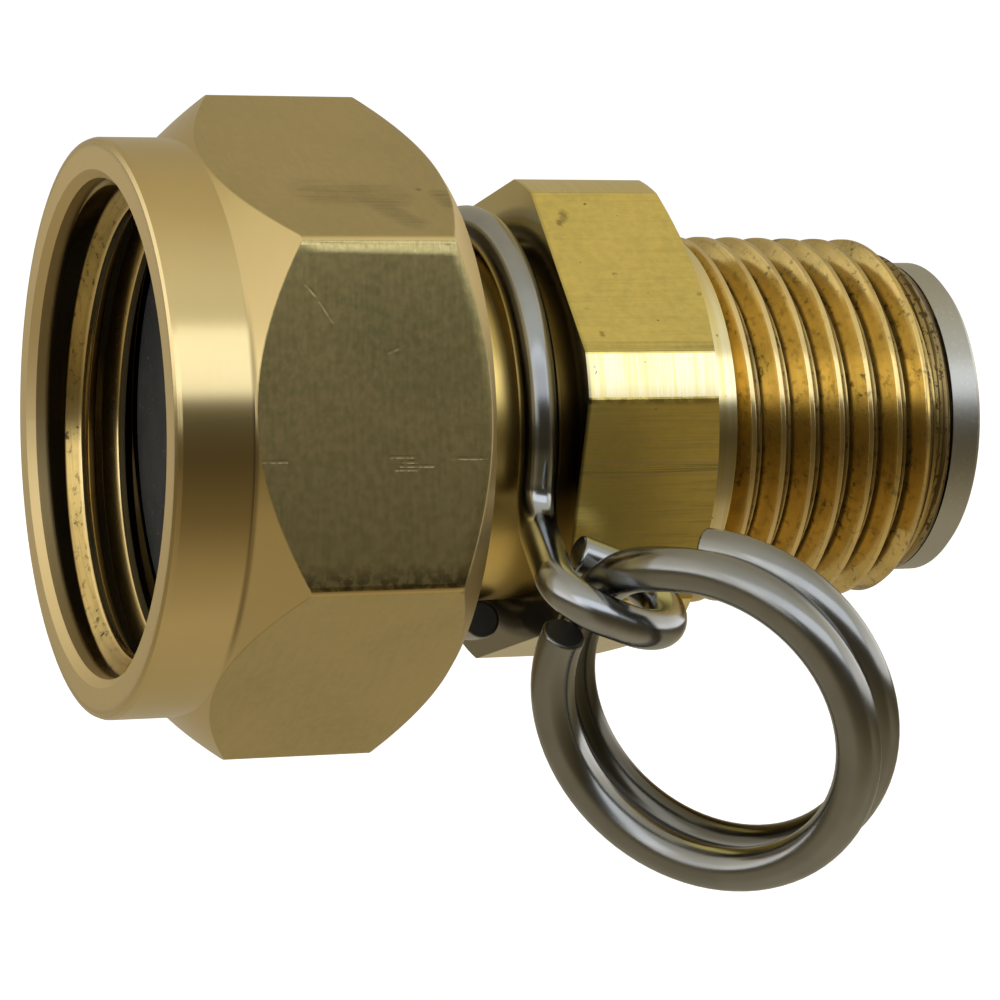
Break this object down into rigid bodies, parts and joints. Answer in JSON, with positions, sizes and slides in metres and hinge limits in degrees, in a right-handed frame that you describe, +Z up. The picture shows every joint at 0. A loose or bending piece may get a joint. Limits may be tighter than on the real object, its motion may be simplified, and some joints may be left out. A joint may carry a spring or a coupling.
{
  "type": "hose adapter fitting",
  "caption": "Brass hose swivel fitting: hex swivel nut with hose thread, hex body with male pipe thread and lined outlet, wire hook with split ring on its neck",
  "frame": {"origin": "centre of the hose mouth, on the swivel nut's front face", "axes": "+X along the waterway from the hose mouth to the threaded outlet; +Z up, +Y away from the hook's side"},
  "size_m": [0.0498, 0.0458, 0.0425],
  "materials": {
    "nut_brass": "satin turned brass, lightly tarnished",
    "stem_brass": "turned brass",
    "body_brass": "machined brass",
    "washer_rubber": "matt moulded rubber",
    "seal_rubber": "smooth rubber",
    "insert_steel": "matt turned stainless steel",
    "hook_steel": "polished stainless wire",
    "ring_steel": "polished stainless wire"
  },
  "bodies": {
    "fitting": {"hex_body": "body_brass", "inlet_stem": "stem_brass", "stem_seal": "seal_rubber", "outlet_insert": "insert_steel"},
    "nut": {"swivel_nut": "nut_brass", "hose_washer": "washer_rubber"},
    "hook": {"hook_wire": "hook_steel"},
    "ring": {"split_ring": "ring_steel"}
  },
  "joints": [
    {"name": "nut_spin", "type": "hinge", "parent": "fitting", "child": "nut", "pos_m": [0.01495, 0, 0], "axis": [1, 0, 0], "continuous": true},
    {"name": "hook_turn", "type": "hinge", "parent": "fitting", "child": "hook", "pos_m": [0.02173, 0, 0], "axis": [1, 0, 0], "continuous": true},
    {"name": "ring_swing", "type": "hinge", "parent": "hook", "child": "ring", "pos_m": [0.02293, -0.01695, -0.00803], "axis": [-0.0562, 0.9107, -0.4093], "range_deg": [-60, 40]}
  ]
}
